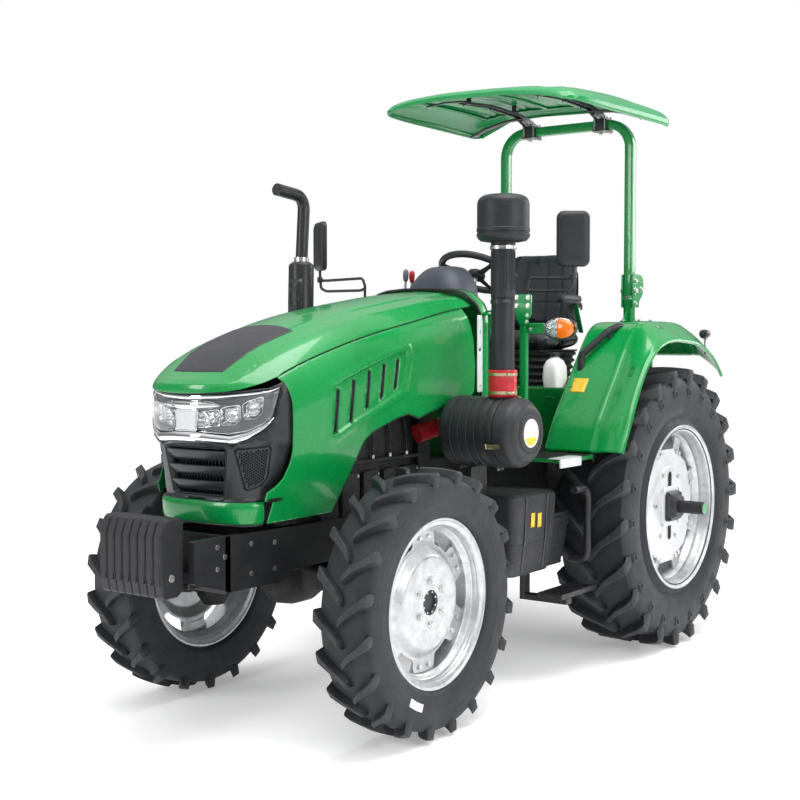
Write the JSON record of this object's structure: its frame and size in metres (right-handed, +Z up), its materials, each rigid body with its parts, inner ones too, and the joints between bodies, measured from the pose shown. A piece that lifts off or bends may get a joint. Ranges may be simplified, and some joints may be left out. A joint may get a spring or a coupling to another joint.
{
  "type": "farm tractor",
  "caption": "Four-wheel-drive farm tractor with an open operator station, folding roll bar with canopy, hinged hood, steered front axle and rear three-point hitch",
  "frame": {"origin": "on the floor under the centre of the whole machine", "axes": "+X forward, +Y to the tractor's left, +Z up"},
  "size_m": [3.712, 1.88, 2.7975],
  "materials": {
    "hood_green": "glossy green enamel over pressed sheet",
    "frame_black": "satin black chassis paint on castings and tube",
    "cast_black": "painted cast iron, satin black",
    "tyre_rubber": "new black tyre rubber",
    "rim_silver": "silver zinc finish, slightly mottled",
    "black_plastic": "moulded black plastic",
    "grey_plastic": "moulded grey plastic, two tones",
    "lamp_chrome": "chromed lamp bar with clear lenses",
    "lamp_orange": "clear and amber lens",
    "hose_red": "red silicone hose with steel clamps",
    "seat_vinyl": "black vinyl upholstery",
    "shield_white": "pale side shield",
    "steel": "machined steel"
  },
  "bodies": {
    "chassis": {"air_cleaner": "black_plastic", "battery_box": "frame_black", "controls": "frame_black", "cowl": "hood_green", "dashboard": "grey_plastic", "drawbar": "frame_black", "engine_block": "cast_black", "exhaust": "frame_black", "fender_left": "hood_green", "fender_right": "hood_green", "front_axle_beam": "frame_black", "front_frame": "frame_black", "front_weights": "cast_black", "fuel_tank": "black_plastic", "grab_handles": "frame_black", "intake_hoses": "hose_red", "intake_stack": "black_plastic", "light_brackets": "hood_green", "link_pins": "frame_black", "mirrors": "black_plastic", "platform": "hood_green", "pto_shaft": "steel", "radiator": "cast_black", "rear_axle_housing": "cast_black", "rops_posts": "hood_green", "seat_back": "seat_vinyl", "seat_base": "black_plastic", "seat_cushion": "seat_vinyl", "side_shields": "shield_white", "signal_lamps": "lamp_orange", "steps": "frame_black", "transmission_housing": "cast_black", "tube_guards": "frame_black"},
    "bonnet": {"bonnet_top": "hood_green", "bonnet_sides": "hood_green", "nose_grille": "black_plastic", "headlamp_bar": "lamp_chrome", "nose_lower": "hood_green"},
    "steering_wheel": {"steering_wheel": "black_plastic"},
    "knuckle_left": {"knuckle_left": "frame_black"},
    "knuckle_right": {"knuckle_right": "frame_black"},
    "tie_rod": {"tie_rod": "frame_black"},
    "front_wheel_left": {"tyre_front_left": "tyre_rubber", "rim_front_left": "rim_silver"},
    "front_wheel_right": {"tyre_front_right": "tyre_rubber", "rim_front_right": "rim_silver"},
    "rear_wheel_left": {"tyre_rear_left": "tyre_rubber", "rim_rear_left": "rim_silver"},
    "rear_wheel_right": {"tyre_rear_right": "tyre_rubber", "rim_rear_right": "rim_silver"},
    "rops_upper": {"rops_hoop": "hood_green", "canopy": "hood_green", "canopy_frame": "frame_black"},
    "lift_arms": {"lift_arms": "frame_black"},
    "lift_rods": {"lift_rods": "frame_black"},
    "lower_links": {"lower_links": "frame_black"},
    "top_link": {"top_link": "steel"}
  },
  "joints": [
    {"name": "bonnet_hinge", "type": "hinge", "parent": "chassis", "child": "bonnet", "pos_m": [0.095, 0, 1.69], "axis": [0, -1, 0], "range_deg": [0, 55]},
    {"name": "steering_wheel_turn", "type": "hinge", "parent": "chassis", "child": "steering_wheel", "pos_m": [-0.44, 0, 1.88], "axis": [-0.4695, 0, 0.8829], "range_deg": [-640, 640]},
    {"name": "steer_left", "type": "hinge", "parent": "chassis", "child": "knuckle_left", "pos_m": [0.91, 0.49, 0.52], "axis": [0, 0, 1], "range_deg": [-32, 32]},
    {"name": "steer_right", "type": "hinge", "parent": "chassis", "child": "knuckle_right", "pos_m": [0.91, -0.49, 0.52], "axis": [0, 0, 1], "range_deg": [-32, 32]},
    {"name": "tie_rod_swing", "type": "hinge", "parent": "knuckle_left", "child": "tie_rod", "pos_m": [0.74, 0.49, 0.62], "axis": [0, 0, 1], "range_deg": [-32, 32]},
    {"name": "front_left_spin", "type": "hinge", "parent": "knuckle_left", "child": "front_wheel_left", "pos_m": [0.91, 0.607, 0.52], "axis": [0, 1, 0], "continuous": true},
    {"name": "front_right_spin", "type": "hinge", "parent": "knuckle_right", "child": "front_wheel_right", "pos_m": [0.91, -0.607, 0.52], "axis": [0, 1, 0], "continuous": true},
    {"name": "rear_left_spin", "type": "hinge", "parent": "chassis", "child": "rear_wheel_left", "pos_m": [-1.05, 0.645, 0.695], "axis": [0, 1, 0], "continuous": true},
    {"name": "rear_right_spin", "type": "hinge", "parent": "chassis", "child": "rear_wheel_right", "pos_m": [-1.05, -0.645, 0.695], "axis": [0, 1, 0], "continuous": true},
    {"name": "rops_fold", "type": "hinge", "parent": "chassis", "child": "rops_upper", "pos_m": [-1.34, 0, 1.779], "axis": [0, -1, 0], "range_deg": [0, 90]},
    {"name": "hitch_lift", "type": "hinge", "parent": "chassis", "child": "lift_arms", "pos_m": [-1.33, 0, 0.985], "axis": [0, 1, 0], "range_deg": [-25, 40]},
    {"name": "lift_rod_swing", "type": "hinge", "parent": "lift_arms", "child": "lift_rods", "pos_m": [-1.59, 0, 0.985], "axis": [0, 1, 0], "range_deg": [-40, 25]},
    {"name": "lower_link_swing", "type": "hinge", "parent": "chassis", "child": "lower_links", "pos_m": [-1.19, 0, 0.47], "axis": [0, 1, 0], "range_deg": [-25, 40]},
    {"name": "top_link_swing", "type": "hinge", "parent": "chassis", "child": "top_link", "pos_m": [-1.32, 0, 0.86], "axis": [0, 1, 0], "range_deg": [-35, 50]}
  ],
  "couplings": [
    {"joint": "steer_left", "follows": "steering_wheel_turn", "ratio": 0.05},
    {"joint": "steer_right", "follows": "steering_wheel_turn", "ratio": 0.05},
    {"joint": "tie_rod_swing", "follows": "steering_wheel_turn", "ratio": -0.05},
    {"joint": "lift_rod_swing", "follows": "hitch_lift", "ratio": -1},
    {"joint": "lower_link_swing", "follows": "hitch_lift", "ratio": 1}
  ]
}
